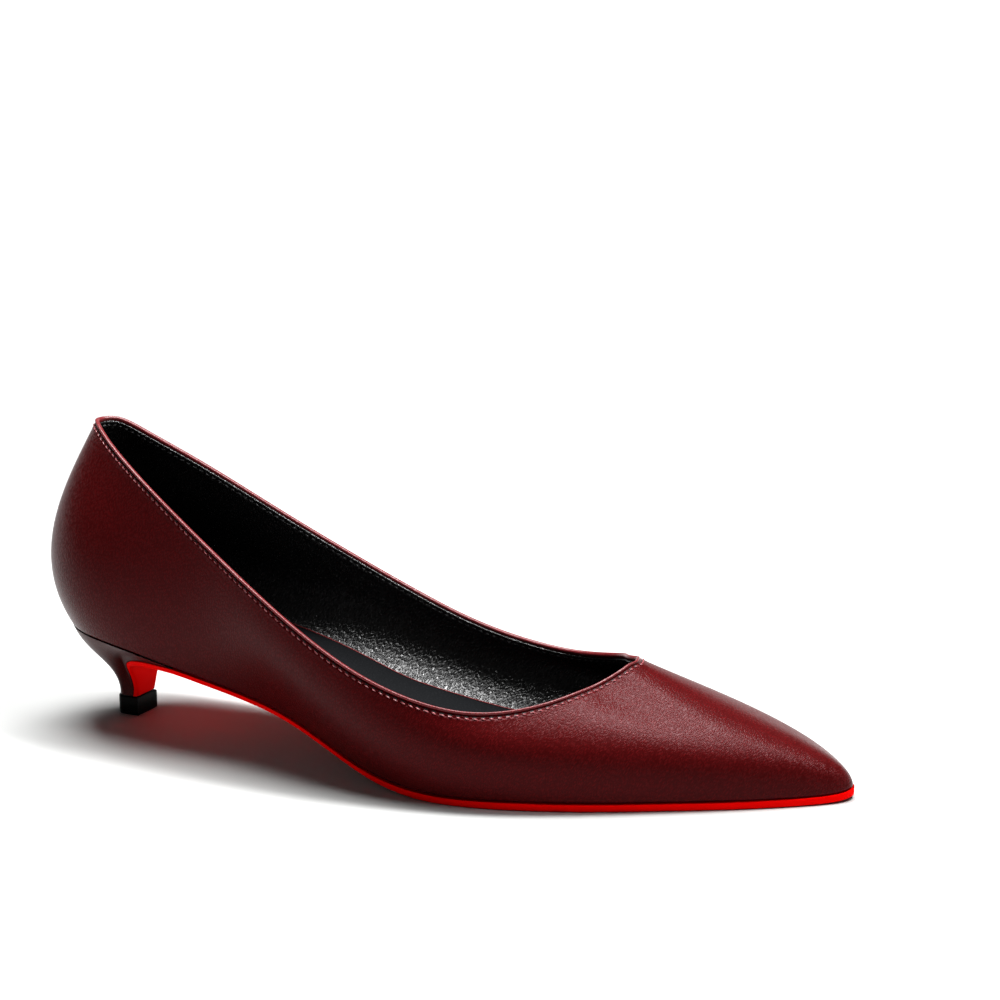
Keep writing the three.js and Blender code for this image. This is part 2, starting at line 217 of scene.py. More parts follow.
EDGE_SAMPLES = 600
edge_line = [last_curves(TOE_TIP * i / EDGE_SAMPLES)[0:3:2] for i in range(EDGE_SAMPLES + 1)]
edge_places = [x for x, z in edge_line]


def edge_height(x):
    """The bottom's height at the outer side."""
    i = min(max(bisect.bisect_right(edge_places, x), 1), EDGE_SAMPLES)
    (x0, z0), (x1, z1) = edge_line[i - 1], edge_line[i]
    return mix(z0, z1, min(max((x - x0) / (x1 - x0), 0), 1))


def swing_at(along):
    """How far a place along the shoe turns to the inner side."""
    start = SWING_START * SHOE_LENGTH
    share = max(along - start, 0) / (SHOE_LENGTH - start)
    swing_curve = 1.5
    return TOE_SWING * share**swing_curve


def on_bottom(x, y, lift):
    """A point on the shoe's bottom, lifted, with the arch higher on the inner side."""
    arch_start = 0.25 * SHOE_LENGTH
    arch_end = 0.6 * SHOE_LENGTH
    arch_fade = 0.15 * SHOE_LENGTH
    arch_share = ease_in_out((x - arch_start) / arch_fade) * ease_in_out((arch_end - x) / arch_fade)
    arch_width = 0.6 * BALL_WIDTH
    across = 0.5 + y / arch_width
    return Vector((x, y, edge_height(x) + ARCH_RISE * arch_share * across + lift))


@functools.lru_cache(maxsize=None)
def foot_point(around):
    """The feather edge, where upper, insole and outsole meet."""
    x, y = last_curves(around)[:2]
    return on_bottom(x, y + swing_at(x), 0)


@functools.lru_cache(maxsize=None)
def foot_normal(around):
    step = 1e-4
    along = foot_point(around + step) - foot_point(around - step)
    return Vector((along.y, -along.x, 0)).normalized()


def bezier(points, t):
    s = 1 - t
    return points[0] * s**3 + points[1] * (3 * s * s * t) + points[2] * (3 * s * t * t) + points[3] * t**3


def bezier_slope(points, t):
    s = 1 - t
    first, second, third = (points[i + 1] - points[i] for i in range(3))
    return first * (3 * s * s) + second * (6 * s * t) + third * (3 * t * t)


@functools.lru_cache(maxsize=None)
def rib_at(around):
    """One rib of the upper: a curve from the feather edge to the topline."""
    values = last_curves(around)
    mouth_x, mouth_y, mouth_z, rise, flare, reach, drop = values[3:]
    foot = foot_point(around)
    mouth = Vector((mouth_x, mouth_y + swing_at(mouth_x), mouth_z))
    outward = foot_normal(around)
    belly = foot + outward * flare + Vector((0, 0, rise))
    fold_lean = 20  # weight of the outward way beside the way from the mouth to the foot
    away = (outward * fold_lean + Vector((foot.x - mouth.x, foot.y - mouth.y, 0))).normalized()
    shoulder = mouth + away * reach - Vector((0, 0, drop))
    return foot, belly, shoulder, mouth


@functools.lru_cache(maxsize=None)
def rib_lengths(around):
    samples = 60
    points = [bezier(rib_at(around), i / samples) for i in range(samples + 1)]
    lengths = [0.0]
    for before, point in zip(points, points[1:]):
        lengths.append(lengths[-1] + (point - before).length)
    return lengths


def share_at(around, distance):
    """Share along a rib that lies a distance up from the feather edge."""
    lengths = rib_lengths(around)
    if distance >= lengths[-1]:
        return 1.0
    i = max(bisect.bisect_right(lengths, distance), 1)
    part = (distance - lengths[i - 1]) / (lengths[i] - lengths[i - 1])
    return (i - 1 + max(part, 0)) / (len(lengths) - 1)


def wall_point(around, distance, outwards):
    """A place on the upper's outer face, a distance up from the feather edge, moved outwards."""
    step = 1e-3
    share = share_at(around, distance)
    rib = rib_at(around)
    up = bezier_slope(rib, share).normalized()
    along = bezier(rib_at(around + step), share) - bezier(rib_at(around - step), share)
    over = max(distance - rib_lengths(around)[-1], 0)
    return bezier(rib, share) + up * over + along.cross(up).normalized() * outwards


def topline_point(around, down, outwards):
    """A place on the upper's outer face, a distance down from the topline, moved outwards."""
    return wall_point(around, rib_lengths(around)[-1] - down, outwards)


# Meshes

lift_low, lift_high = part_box("top_lift")
FRAME_SHIFT = Vector((
    lift_low[0] * 1000 - TIP_BACK + LIFT_OVERHANG,
    (lift_low[1] + lift_high[1]) * 500,
    0,
))


def make_piece(name, points, faces, materials, replaced=(), sharp_angle=40, face_materials=None):
    """One smooth-shaded mesh from millimetre points, riding on the shoe."""
    mesh = bpy.data.meshes.new(name)
    mesh.from_pydata([(point + FRAME_SHIFT) / 1000 for point in points], [], faces)
    for material in materials:
        mesh.materials.append(material)
    mesh.polygons.foreach_set("use_smooth", [True] * len(faces))
    if face_materials:
        mesh.polygons.foreach_set("material_index", face_materials)
    mesh.set_sharp_from_angle(angle=math.radians(sharp_angle))
    piece = bpy.data.objects.new(name, mesh)
    bpy.context.scene.collection.objects.link(piece)
    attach(piece, "root")
    if replaced:
        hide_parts(*replaced)


def skin_faces(rows, columns, rows_close=False, columns_close=True):
    """Quads over a grid of points, kept row by row."""
    faces = []
    for r in range(rows if rows_close else rows - 1):
        for c in range(columns if columns_close else columns - 1):
            here = r * columns
            there = (r + 1) % rows * columns
            ahead = (c + 1) % columns
            faces.append((here + c, here + ahead, there + ahead, there + c))
    return faces


def all_around():
    return [i / COLUMNS_AROUND for i in range(COLUMNS_AROUND)]


def make_upper_leather(materials):
    """The burgundy leather: turned in under the foot, up the wall, and over the folded edge with its bead."""
    margin_insets = (7, 3.5, 1.6)
    feather_turn = ((0, -0.6), (0.08, -0.3), (0.3, -0.08), (0.8, -0.01))  # distance up, distance outwards
    rows = []
    for inset in margin_insets:
        rows.append([foot_point(u) - foot_normal(u) * inset for u in all_around()])
    for distance, outwards in feather_turn:
        rows.append([wall_point(u, distance, outwards) for u in all_around()])
    side_start = 1.4
    side_end = 4.6
    for level in range(WALL_LEVELS):
        share = level / (WALL_LEVELS - 1)
        rows.append([
            wall_point(u, mix(side_start, rib_lengths(u)[-1] - side_end, share), 0) for u in all_around()
        ])
    for down, outwards in FOLDED_EDGE:
        rows.append([topline_point(u, down, outwards) for u in all_around()])
    faces = skin_faces(len(rows), COLUMNS_AROUND)
    # The bead's faces take the second material, whose lighter red is a painted highlight.
    bead_depth = 0.95
    bead_rows = sum(1 for down, outwards in FOLDED_EDGE if down < bead_depth) + 1
    bead_start = (len(rows) - bead_rows) * COLUMNS_AROUND
    face_materials = [1 if i >= bead_start else 0 for i in range(len(faces))]
    make_piece(
        "upper_leather", sum(rows, []), faces, materials, ["upper"], 60, face_materials
    )


def sock_level(around):
    """How far up the wall the sock's edge lies: high beside the heel, low at the ball."""
    x = foot_point(around).x
    seat_end = 65
    ball_start = 115
    return mix(SOCK_SEAT_LEVEL, SOCK_BALL_LEVEL, ease_in_out((x - seat_end) / (ball_start - seat_end)))


@functools.lru_cache(maxsize=None)
def lining_point(around, distance):
    """A place on the lining's face. Its lowest part curves in towards the sock."""
    half_width = abs(last_curves(around)[1])
    end_width = 10  # the curve is shallower where the shoe is narrow
    narrow_share = 0.4
    depth = FILLET_DEPTH * mix(narrow_share, 1, ease_in_out(half_width / end_width))
    share = min(max((distance - sock_level(around)) / FILLET_HEIGHT, 0), 1)
    return wall_point(around, distance, -UPPER_WALL - depth * (1 - share) ** 2)


def make_lining(material):
    """The black lining inside the upper, with its cut edge just under the folded edge."""
    rows = [[topline_point(u, down, outwards) for u in all_around()] for down, outwards in LINING_EDGE]
    levels = 70
    lining_start = 4
    below_sock = 0.3
    for level in range(levels):
        share = level / (levels - 1)
        rows.append([
            lining_point(u, mix(rib_lengths(u)[-1] - lining_start, sock_level(u) - below_sock, share))
            for u in all_around()
        ])
    faces = skin_faces(len(rows), COLUMNS_AROUND)
    make_piece("lining", sum(rows, []), faces, [material], sharp_angle=60)


def stitch_places(down, pitch):
    """Evenly spaced places round the topline, each with the share that one millimetre covers there."""
    samples = 1600
    path = [topline_point(i / samples, down, 0) for i in range(samples + 1)]
    lengths = [0.0]
    for before, point in zip(path, path[1:]):
        lengths.append(lengths[-1] + (point - before).length)
    count = round(lengths[-1] / pitch)
    places = []
    for n in range(count):
        distance = lengths[-1] * (n + 0.5) / count
        i = bisect.bisect_right(lengths, distance)
        part = (distance - lengths[i - 1]) / (lengths[i] - lengths[i - 1])
        places.append(((i - 1 + part) / samples, 1 / samples / (lengths[i] - lengths[i - 1])))
    return places


def make_stitching(name, down, outwards, materials):
    """One row of lockstitch: short raised threads, each with a flat dark patch above it as the painted shade
    of its needle slot.
    """
    thread_radius = 0.24
    sides = 8
    # share of the stitch, height, thickness
    sections = (
        (-0.5, -0.3, 0.6), (-0.38, -0.02, 0.9), (-0.15, 0.1, 1),
        (0.15, 0.1, 1), (0.38, -0.02, 0.9), (0.5, -0.3, 0.6),
    )
    slot_length = 1.25
    slot_height = 0.6
    slot_above = 0.42
    slot_stand = 0.05
    slant = 0.1
    way_out = 1 if outwards > -1 else -1  # the lining's stitches stand out towards the foot
    points, faces, face_materials = [], [], []
    for place, share_per_mm in stitch_places(down, STITCH_PITCH):
        first = len(points)
        for along, lift, thickness in sections:
            here = place + along * STITCH_LENGTH * share_per_mm
            for side in range(sides):
                angle = 2 * math.pi * side / sides
                across = thread_radius * thickness * math.cos(angle) + slant * along * STITCH_LENGTH
                height = thread_radius * thickness * math.sin(angle) + lift
                points.append(topline_point(here, down + across, outwards + way_out * height))
        for face in skin_faces(len(sections), sides):
            faces.append(tuple(first + corner for corner in face))
            face_materials.append(0)
        # A flat dark patch standing just off the face: painted shade of the needle hole.
        first = len(points)
        for side in range(sides):
            angle = 2 * math.pi * side / sides
            ahead = place + slot_length / 2 * math.cos(angle) * share_per_mm
            above = down - slot_above + slot_height / 2 * math.sin(angle)
            points.append(topline_point(ahead, above, outwards + way_out * slot_stand))
        faces.append(tuple(range(first, first + sides)))
        face_materials.append(1)
    make_piece(name, points, faces, materials, face_materials=face_materials)


def make_sock(material):
    """The sock on the insole: rows across, from the heel to the toe, slightly dished."""
    stations = 160
    steps = 24
    narrow_dish = 1 / 12  # of the sock's width, where that is less than the full dish
    rows = []
    for station in range(stations + 1):
        around = TOE_TIP * station / stations
        outer, inner = (lining_point(u, sock_level(u)) for u in (around, -around))
        width = (outer - inner).length
        dish = min(SOCK_DISH, width * narrow_dish)
        row = []
        for step in range(steps + 1):
            share = step / steps
            place = outer.lerp(inner, share)
            place.z -= dish * (1 - (2 * share - 1) ** 2)
            row.append(place)
        rows.append(row)
    columns = len(rows[0])
    faces = skin_faces(len(rows), columns, columns_close=False)
    make_piece("sock", sum(rows, []), faces, [material], ["insole"], sharp_angle=60)


def make_sock_edge(material):
    """The thin dark red edge of the sock, where it meets the lining."""
    radius = 0.2
    stand = 0.1
    sides = 8
    rows = []
    for u in all_around():
        middle = lining_point(u, sock_level(u)) + Vector((0, 0, stand))
        outward = foot_normal(u)
        rows.append([
            middle
            + outward * (radius * math.cos(2 * math.pi * side / sides))
            + Vector((0, 0, radius * math.sin(2 * math.pi * side / sides)))
            for side in range(sides)
        ])
    faces = skin_faces(len(rows), sides, rows_close=True)
    make_piece("sock_edge", sum(rows, []), faces, [material])


# Heel

def tip_outline(share, side):
    """Half of the heel's D-shaped lower outline, from 0 at the back to 1 at the front corner."""
    round_part = 0.6
    half_width = LIFT_WIDTH / 2 - LIFT_OVERHANG
    depth = LIFT_DEPTH - WAIST_THICKNESS - PIECE_GAP - LIFT_OVERHANG
    round_depth = depth / 2
    angle = min(share / round_part, 1) * math.pi / 2
    straight = max(share - round_part, 0) / (1 - round_part)
    x = TIP_BACK + round_depth * (1 - math.cos(angle)) + (depth - round_depth) * straight
    return Vector((x, side * half_width * math.sin(angle), LIFT_HEIGHT + PIECE_GAP))


@functools.lru_cache(maxsize=None)
def heel_line(share, side):
    """One line up the heel's side, from the top lift to the seat. The last one is the breast's corner."""
    around = (1 if side < 0 else -1) * TOE_TIP * LIP_SHARE * share
    seat = foot_point(around) - Vector((0, 0, PIECE_GAP))
    tip = tip_outline(share, side)
    round_part = 0.45
    to_breast = ease_in_out((share - round_part) / (1 - round_part))
    tip_reach = mix(0, 0.11, to_breast)
    tip_rise = mix(0.42, 0.49, to_breast)
    seat_reach = mix(0.75, -0.25, to_breast)
    seat_flare = mix(0.75, 0.44, to_breast)
    seat_rise = mix(0.62, 0.96, to_breast)
    low = Vector((mix(tip.x, seat.x, tip_reach), tip.y, mix(tip.z, seat.z, tip_rise)))
    high = Vector((
        mix(tip.x, seat.x, seat_reach), mix(tip.y, seat.y, seat_flare), mix(tip.z, seat.z, seat_rise),
    ))
    return tip, low, high, seat


def make_heel_cover(material):
    """The leather over the heel: rings from the top lift up to the seat."""
    rows = []
    for level in range(HEEL_LEVELS + 1):
        t = level / HEEL_LEVELS
        row = [bezier(heel_line(0, -1), t)]
        shares = [(i + 1) / HEEL_COLUMNS for i in range(HEEL_COLUMNS)]
        row += [bezier(heel_line(share, -1), t) for share in shares]
        row += [bezier(heel_line(share, 1), t) for share in reversed(shares)]
        rows.append(row)
    columns = len(rows[0])
    faces = skin_faces(len(rows), columns)
    make_piece("heel_cover", sum(rows, []), faces, [material], ["heel"], sharp_angle=50)


def make_top_lift(material):
    """The black tread piece, with its corners softened."""
    shares = [(i + 1) / HEEL_COLUMNS for i in range(HEEL_COLUMNS)]
    front_reach = WAIST_THICKNESS + PIECE_GAP
    back_part = 0.25
    middle = TIP_BACK + LIFT_DEPTH / 2
    profile = (  # height, inset
        (0, 3), (0, 0.5), (0.15, 0.15), (0.5, 0),
        (LIFT_HEIGHT - 0.4, 0), (LIFT_HEIGHT - 0.15, 0.1), (LIFT_HEIGHT, 0.35), (LIFT_HEIGHT, 3),
    )

    def edge(share, side, z, inset):
        inner = tip_outline(share, side)
        x = inner.x + LIFT_OVERHANG * math.copysign(1, inner.x - middle)
        if share == 1:
            x += front_reach
        y = inner.y + side * LIFT_OVERHANG * min(share / back_part, 1)
        shrink = 1 - inset / (LIFT_WIDTH / 2)
        return Vector((middle + (x - middle) * shrink, y * shrink, z))

    rows = []
    for z, inset in profile:
        row = [edge(0, -1, z, inset)]
        row += [edge(share, -1, z, inset) for share in shares]
        row += [edge(share, 1, z, inset) for share in reversed(shares)]
        rows.append(row)
    columns = len(rows[0])
    faces = skin_faces(len(rows), columns)
    faces.append(tuple(range(columns)))
    faces.append(tuple(range((len(rows) - 1) * columns, len(rows) * columns)))
    make_piece(
        "top_lift_piece", sum(rows, []), faces, [material], ["top_lift"], sharp_angle=30
    )


# Outsole

def sole_thickness(x):
    """Thin through the waist, thicker under the tread."""
    waist_end = 0.42 * SHOE_LENGTH
    tread_start = 0.58 * SHOE_LENGTH
    return mix(WAIST_THICKNESS, TREAD_THICKNESS, ease_in_out((x - waist_end) / (tread_start - waist_end)))


def cross_section(outer, inner, down, thickness):
    """A closed ring: the top, the outer edge with its rounding, the bottom, the inner edge."""
    across = inner - outer
    if across.length > 0:
        across = across.normalized()
    width = (inner - outer).length
    widest_round = width / 3
    radius = min(SOLE_EDGE_ROUND, widest_round)
    arc_steps = 4
    arc = [math.pi / 2 * i / arc_steps for i in range(arc_steps + 1)]

    def fall(angle):
        return down * (thickness - SOLE_EDGE_ROUND + SOLE_EDGE_ROUND * math.sin(angle))

    def draw_in(angle):
        return across * radius * (1 - math.cos(angle))

    outer_edge = [outer + fall(angle) + draw_in(angle) for angle in arc]
    inner_edge = [inner + fall(angle) - draw_in(angle) for angle in reversed(arc)]
    steps = 14
    bottom = [outer_edge[-1].lerp(inner_edge[0], i / steps) for i in range(1, steps)]
    return [outer.lerp(inner, 0.5), outer] + outer_edge + bottom + inner_edge + [inner]


def tread_section(around):
    """The sole across the foot, from the outer side to the inner side."""
    edges = []
    for place in (around, -around):
        edge = foot_point(place) + foot_normal(place) * SOLE_OVERHANG
        edges.append(on_bottom(edge.x, edge.y, -PIECE_GAP))
    section = cross_section(*edges, Vector((0, 0, -1)), sole_thickness(edges[0].x))
    for corner in section:
        corner.z = max(corner.z, 0)
    return section


def flap_section(share):
    """The sole across the heel's breast, from the lip at 0 down to the top lift at 1."""
    here = 1 - share
    least_share = 0.01
    tangent = -bezier_slope(heel_line(1, -1), max(here, least_share))
    forward = Vector((-tangent.z, 0, tangent.x)).normalized()
    outer, inner = (bezier(heel_line(1, side), here) + forward * PIECE_GAP for side in (-1, 1))
    section = cross_section(outer, inner, forward, WAIST_THICKNESS)
    for corner in section:
        corner.z = max(corner.z, LIFT_HEIGHT + PIECE_GAP)
    return section


def make_red_sole(materials):
    """Forepart and waist, then the flap that turns down the heel's breast. Its underside is a deeper red:
    painted shade.
    """
    blunt_tip = 0.0006
    start = TOE_TIP - blunt_tip
    ahead_of_lip = 1.06
    end = TOE_TIP * LIP_SHARE * ahead_of_lip
    toe_crowding = 1.7  # stations stand closer at the pointed toe
    edge_columns = 5
    flat_enough = 0.8
    shares = [(i / (SOLE_STATIONS - 1)) ** toe_crowding for i in range(SOLE_STATIONS)]
    rows = [tread_section(mix(start, end, share)) for share in shares]
    rows += [flap_section(i / FLAP_STATIONS) for i in range(FLAP_STATIONS + 1)]
    columns = len(rows[0])
    faces = skin_faces(len(rows), columns)
    points = sum(rows, [])
    tread_faces = (SOLE_STATIONS - 1) * columns
    face_materials = []
    for i, face in enumerate(faces):
        across = (points[face[1]] - points[face[0]]).cross(points[face[3]] - points[face[0]])
        # Tread faces that point down take the second, darker red: painted shade.
        on_tread = i < tread_faces and i % columns > edge_columns
        faces_down = on_tread and abs(across.normalized().z) > flat_enough
        face_materials.append(1 if faces_down else 0)
    faces.append(tuple(range(columns)))
    faces.append(tuple(range((len(rows) - 1) * columns, len(rows) * columns)))
    face_materials += [0, 0]
    make_piece("red_sole", points, faces, materials, ["outsole"], 50, face_materials)


# Materials

def linear(colour):
    """An sRGB hex colour as linear light, with full alpha."""
    parts = [int(colour[i : i + 2], 16) / 255 for i in (1, 3, 5)]
    lights = [part / 12.92 if part <= 0.04045 else ((part + 0.055) / 1.055) ** 2.4 for part in parts]
    return (*lights, 1.0)


def add_node(tree, kind, inputs=None, **settings):
    """Adds a node: settings are its own properties, inputs are values or links by socket."""
    node = tree.nodes.new(kind)
    for name, value in settings.items():
        setattr(node, name, value)
    for name, value in (inputs or {}).items():
        if isinstance(value, bpy.types.NodeSocket):
            tree.links.new(value, node.inputs[name])
        else:
            node.inputs[name].default_value = value
    return node


def new_material(name):
    material = bpy.data.materials.new(name)
    material.use_nodes = True
    material.node_tree.nodes.clear()
    return material, material.node_tree


def finish_material(tree, inputs):
    """The shader and the output."""
    shader = add_node(tree, "ShaderNodeBsdfPrincipled", inputs)
    add_node(tree, "ShaderNodeOutputMaterial", {"Surface": shader.outputs["BSDF"]})


def leather_grain(tree, cell, lean, depth, pore_depth):
    """The shade and the relief of fine creases and pores.

    cell is the size of one crease cell, long as hide stretched over a last shows it, in metres.
    lean turns the cells, in degrees. depth and pore_depth are heights in metres.
    Real pores, about 0.1 mm apart, are too fine to show, so they are drawn a few times coarser.
    """
    wander_scale = 260.0
    wander_distance = 0.0003
    crease_width = 0.35
    pore_scale = 2200.0
    place = add_node(tree, "ShaderNodeTexCoord").outputs["Object"]
    wander = add_node(tree, "ShaderNodeTexNoise", {"Vector": place, "Scale": wander_scale, "Detail": 2.0})
    moved = add_node(
        tree,
        "ShaderNodeMix",
        {0: wander_distance, 4: place, 5: wander.outputs["Color"]},
        data_type="VECTOR",
    )
    cells = add_node(
        tree,
        "ShaderNodeMapping",
        {"Vector": moved.outputs[1], "Rotation": (0.0, math.radians(lean), 0.0), "Scale": cell},
        vector_type="TEXTURE",
    )
    creases = add_node(
        tree, "ShaderNodeTexVoronoi", {"Vector": cells.outputs[0], "Scale": 1.0}, feature="DISTANCE_TO_EDGE"
    )
    soft = add_node(
        tree,
        "ShaderNodeMapRange",
        {"Value": creases.outputs["Distance"], "From Max": crease_width},
        interpolation_type="SMOOTHSTEP",
    )
    pores = add_node(tree, "ShaderNodeTexNoise", {"Vector": place, "Scale": pore_scale, "Detail": 1.0})
    crease_bump = add_node(
        tree, "ShaderNodeBump", {"Height": soft.outputs[0], "Distance": depth, "Strength": 1.0}
    )
    pore_bump = add_node(
        tree,
        "ShaderNodeBump",
        {
            "Height": pores.outputs[0],
            "Distance": pore_depth,
            "Strength": 1.0,
            "Normal": crease_bump.outputs[0],
        },
    )
    return soft.outputs[0], pore_bump.outputs[0]


def burgundy_calf():
    """Full-grain calf leather, drum-dyed burgundy and lightly polished.

    It gives a deep even colour, fine stretched creases that break up the highlights, and a soft wax gloss.
    The gloss is weak and rosy, because the photograph's highlights are pink on sides that are nearly black.
    """
    material, tree = new_material("burgundy_calf_leather")
    creases, normal = leather_grain(tree, (0.0004, 0.0015, 0.0015), 35, 0.00005, 0.00001)
    place = add_node(tree, "ShaderNodeTexCoord").outputs["Object"]
    cloud = add_node(tree, "ShaderNodeTexNoise", {"Vector": place, "Scale": 22.0, "Detail": 3.0})
    tone = add_node(
        tree,
        "ShaderNodeMix",
        {0: cloud.outputs[0], 6: linear("#48080a"), 7: linear("#540b0d")},
        data_type="RGBA",
    )
    in_creases = add_node(
        tree,
        "ShaderNodeMix",
        {0: creases, 6: linear("#3a0607"), 7: tone.outputs[2]},
        data_type="RGBA",
    )
    rough = add_node(
        tree, "ShaderNodeMapRange", {"Value": cloud.outputs[0], "To Min": 0.27, "To Max": 0.33}
    )
    finish_material(tree, {
        "Base Color": in_creases.outputs[2],
        "Roughness": rough.outputs[0],
        "IOR": 1.5,
        "Specular IOR Level": 0.08,
        "Specular Tint": linear("#f0b0b6"),
        "Normal": normal,
    })
    return material


def burnished_edge_painted_highlight():
    """The same calf leather at the folded edge, hammered flat and burnished with wax: smooth and glossy. Its
    lighter, pinker red is a painted highlight along the bead.
    """
    material, tree = new_material("burnished_edge_painted_highlight")
    creases, normal = leather_grain(tree, (0.0008, 0.0012, 0.0012), 35, 0.00003, 0.00001)
    # Lighter red than the calf: painted highlight on the bead.
    tone = add_node(
        tree,
        "ShaderNodeMix",
        {0: creases, 6: linear("#5c1216"), 7: linear("#701a1f")},
        data_type="RGBA",
    )
    finish_material(tree, {
        "Base Color": tone.outputs[2],
        "Roughness": 0.36,
        "IOR": 1.5,
        "Specular IOR Level": 0.3,
        "Normal": normal,
    })
    return material


def stretched_calf():
    """The same calf leather stretched over the heel: the creases are pulled almost flat. Its red is darker
    than the upper's as painted shade, since the heel faces down.
    """
    material, tree = new_material("stretched_calf_leather_painted_shade")
    creases, normal = leather_grain(tree, (0.0008, 0.0014, 0.0014), 35, 0.00002, 0.00001)
    # Darker red than the upper's calf: painted shade on the downward-facing heel.
    tone = add_node(
        tree,
        "ShaderNodeMix",
        {0: creases, 6: linear("#360b0b"), 7: linear("#450e0e")},
        data_type="RGBA",
    )
    finish_material(tree, {
        "Base Color": tone.outputs[2],
        "Roughness": 0.38,
        "IOR": 1.5,
        "Specular IOR Level": 0.08,
        "Normal": normal,
    })
    return material


def black_lining_leather():
    """Black pigmented lining leather with an embossed pebble grain: nearly black, with a lively sheen."""
    material, tree = new_material("black_lining_leather")
    creases, normal = leather_grain(tree, (0.0008, 0.0018, 0.0018), 35, 0.00016, 0.00001)
    tone = add_node(
        tree,
        "ShaderNodeMix",
        {0: creases, 6: linear("#030303"), 7: linear("#070708")},
        data_type="RGBA",
    )
    finish_material(tree, {
        "Base Color": tone.outputs[2],
        "Roughness": 0.34,
        "IOR": 1.5,
        "Specular IOR Level": 0.5,
        "Normal": normal,
    })
    return material


def charcoal_sock_leather():
    """Thin charcoal sock leather, glued flat on the insole: matt, with hardly any grain."""
    material, tree = new_material("charcoal_sock_leather")
    creases, normal = leather_grain(tree, (0.0009, 0.0012, 0.0012), 0, 0.00003, 0.00003)
    tone = add_node(
        tree,
        "ShaderNodeMix",
        {0: creases, 6: linear("#07080a"), 7: linear("#0c0d0f")},
        data_type="RGBA",
    )
    finish_material(tree, {
        "Base Color": tone.outputs[2],
        "Roughness": 0.7,
        "IOR": 1.48,
        "Specular IOR Level": 0.04,
        "Normal": normal,
    })
    return material


def red_sole_paint(name, dark, light, roughness):
    """Smooth sole leather, sprayed with red paint: one even, saturated colour with hardly any gloss."""
    material, tree = new_material(name)
    place = add_node(tree, "ShaderNodeTexCoord").outputs["Object"]
    cloud = add_node(tree, "ShaderNodeTexNoise", {"Vector": place, "Scale": 60.0, "Detail": 3.0})
    fine = add_node(tree, "ShaderNodeTexNoise", {"Vector": place, "Scale": 1500.0, "Detail": 2.0})
    tone = add_node(
        tree,
        "ShaderNodeMix",
        {0: cloud.outputs[0], 6: linear(dark), 7: linear(light)},
        data_type="RGBA",
    )
    bump = add_node(
        tree, "ShaderNodeBump", {"Height": fine.outputs[0], "Distance": 0.00002, "Strength": 1.0}
    )
    finish_material(tree, {
        "Base Color": tone.outputs[2],
        "Roughness": roughness,
        "IOR": 1.45,
        "Specular IOR Level": 0.01,
        "Normal": bump.outputs[0],
    })
    return material


def lift_rubber():
    """Black cast polyurethane top piece: dense, smooth from the mould, dull on its cut sides."""
    material, tree = new_material("black_cast_polyurethane")
    place = add_node(tree, "ShaderNodeTexCoord").outputs["Object"]
    fine = add_node(tree, "ShaderNodeTexNoise", {"Vector": place, "Scale": 1800.0, "Detail": 3.0})
    tone = add_node(
        tree,
        "ShaderNodeMix",
        {0: fine.outputs[0], 6: linear("#020202"), 7: linear("#050505")},
        data_type="RGBA",
    )
    bump = add_node(
        tree, "ShaderNodeBump", {"Height": fine.outputs[0], "Distance": 0.00004, "Strength": 1.0}
    )
    finish_material(tree, {
        "Base Color": tone.outputs[2],
        "Roughness": 0.45,
        "IOR": 1.5,
        "Specular IOR Level": 0.05,
        "Normal": bump.outputs[0],
    })
    return material


def waxed_thread(name, dark, light, roughness):
    """Bonded polyester thread, twisted from three plies: the twist shows as fine slanted bands."""
    material, tree = new_material(name)
    place = add_node(tree, "ShaderNodeTexCoord").outputs["Object"]
    plies = add_node(
        tree,
        "ShaderNodeTexWave",
        {"Vector": place, "Scale": 420.0, "Distortion": 1.5},
        bands_direction="DIAGONAL",
    )
    tone = add_node(
        tree,
        "ShaderNodeMix",
        {0: plies.outputs["Fac"], 6: linear(dark), 7: linear(light)},
        data_type="RGBA",
    )
    bump = add_node(
        tree, "ShaderNodeBump", {"Height": plies.outputs["Fac"], "Distance": 0.00006, "Strength": 1.0}
    )
    finish_material(tree, {
        "Base Color": tone.outputs[2],
        "Roughness": roughness,
        "IOR": 1.5,
        "Normal": bump.outputs[0],
    })
    return material


def matt_cut_edge_and_painted_hole_shade(name, colour):
    """Leather where it is cut, without its finish, and the painted shade where it is pierced: one flat
    colour, quite matt.
    """
    material, tree = new_material(name)
    place = add_node(tree, "ShaderNodeTexCoord").outputs["Object"]
    fine = add_node(tree, "ShaderNodeTexNoise", {"Vector": place, "Scale": 3000.0})
    bump = add_node(
        tree, "ShaderNodeBump", {"Height": fine.outputs[0], "Distance": 0.00005, "Strength": 1.0}
    )
    finish_material(tree, {
        "Base Color": linear(colour),
        "Roughness": 0.8,
        "IOR": 1.5,
        "Normal": bump.outputs[0],
    })
    return material


def studio_floor():
    """White studio paper: matt and even. Away from the shoe it fades into the white room."""
    fade_start = 0.2
    fade_end = 0.55
    material, tree = new_material("white_studio_paper")
    place = add_node(tree, "ShaderNodeTexCoord").outputs["Object"]
    fibre = add_node(tree, "ShaderNodeTexNoise", {"Vector": place, "Scale": 900.0, "Detail": 3.0})
    bump = add_node(
        tree, "ShaderNodeBump", {"Height": fibre.outputs[0], "Distance": 0.00003, "Strength": 0.5}
    )
    away = add_node(tree, "ShaderNodeVectorMath", {0: place}, operation="LENGTH")
    fade = add_node(
        tree,
        "ShaderNodeMapRange",
        {
            "Value": away.outputs["Value"],
            "From Min": fade_start,
            "From Max": fade_end,
            "To Min": 1.0,
            "To Max": 0.0,
        },
        interpolation_type="SMOOTHSTEP",
    )
    finish_material(tree, {
        "Base Color": linear("#b2b3b2"),
        "Roughness": 0.7,
        "IOR": 1.45,
        "Alpha": fade.outputs[0],
        "Normal": bump.outputs[0],
    })
    return material


